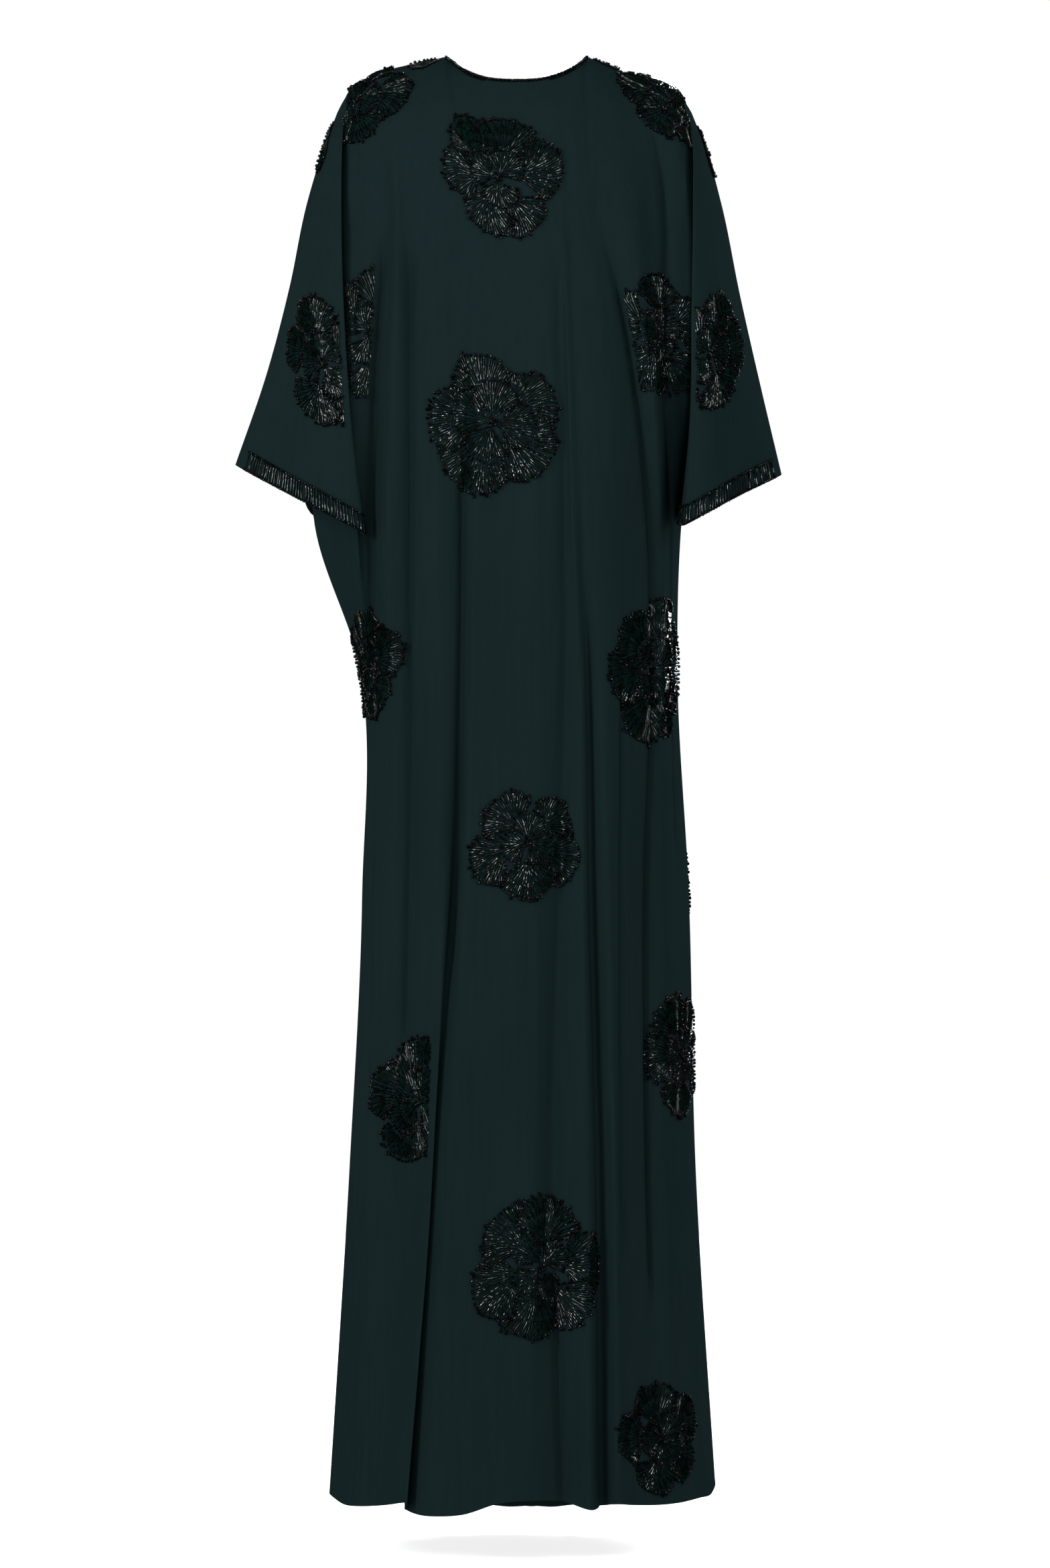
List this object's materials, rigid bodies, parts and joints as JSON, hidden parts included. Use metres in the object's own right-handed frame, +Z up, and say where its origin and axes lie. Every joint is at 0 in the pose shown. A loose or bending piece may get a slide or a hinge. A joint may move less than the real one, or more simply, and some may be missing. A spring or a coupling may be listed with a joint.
{
  "type": "kaftan",
  "caption": "Floor-length kaftan with wide sleeves cut in one with the body, a shallow round neck, beaded cuffs and scattered bead-worked flowers.",
  "frame": {"origin": "midway between the two neck points, level with the top of the shoulders, where the wearer holds the garment up", "axes": "+Z up, the front of the garment faces -Y, +X to the right of someone looking at the front"},
  "size_m": [0.5729, 0.3161, 1.54],
  "materials": {
    "crepe": "matte crepe with a soft sheen",
    "beads": "glossy glass beads",
    "facing": "matte plain weave"
  },
  "bodies": {
    "root": {"front": "crepe", "back": "crepe", "neck_facing_front": "facing", "neck_facing_back": "facing", "cuff_band_left_front": "beads", "cuff_band_left_back": "beads", "cuff_band_right_front": "beads", "cuff_band_right_back": "beads", "flower_chest": "beads", "flower_waist": "beads", "flower_shoulder_left": "beads", "flower_arm_left": "beads", "flower_collar_left": "beads", "flower_shoulder_right": "beads", "flower_arm_right": "beads", "flower_collar_right": "beads", "flower_sleeve_left": "beads", "flower_side_left": "beads", "flower_side_right": "beads", "flower_sleeve_right": "beads", "flower_hip_left": "beads", "flower_hip_right": "beads", "flower_thigh": "beads", "flower_knee_left": "beads", "flower_knee_right": "beads", "flower_lower_middle": "beads", "flower_hem_right": "beads", "flower_back_upper": "beads", "flower_back_shoulder_left": "beads", "flower_back_shoulder_right": "beads", "flower_back_waist": "beads", "flower_back_hip": "beads", "flower_back_side": "beads", "flower_back_thigh": "beads", "flower_back_knee": "beads", "flower_back_lower": "beads"}
  },
  "joints": []
}
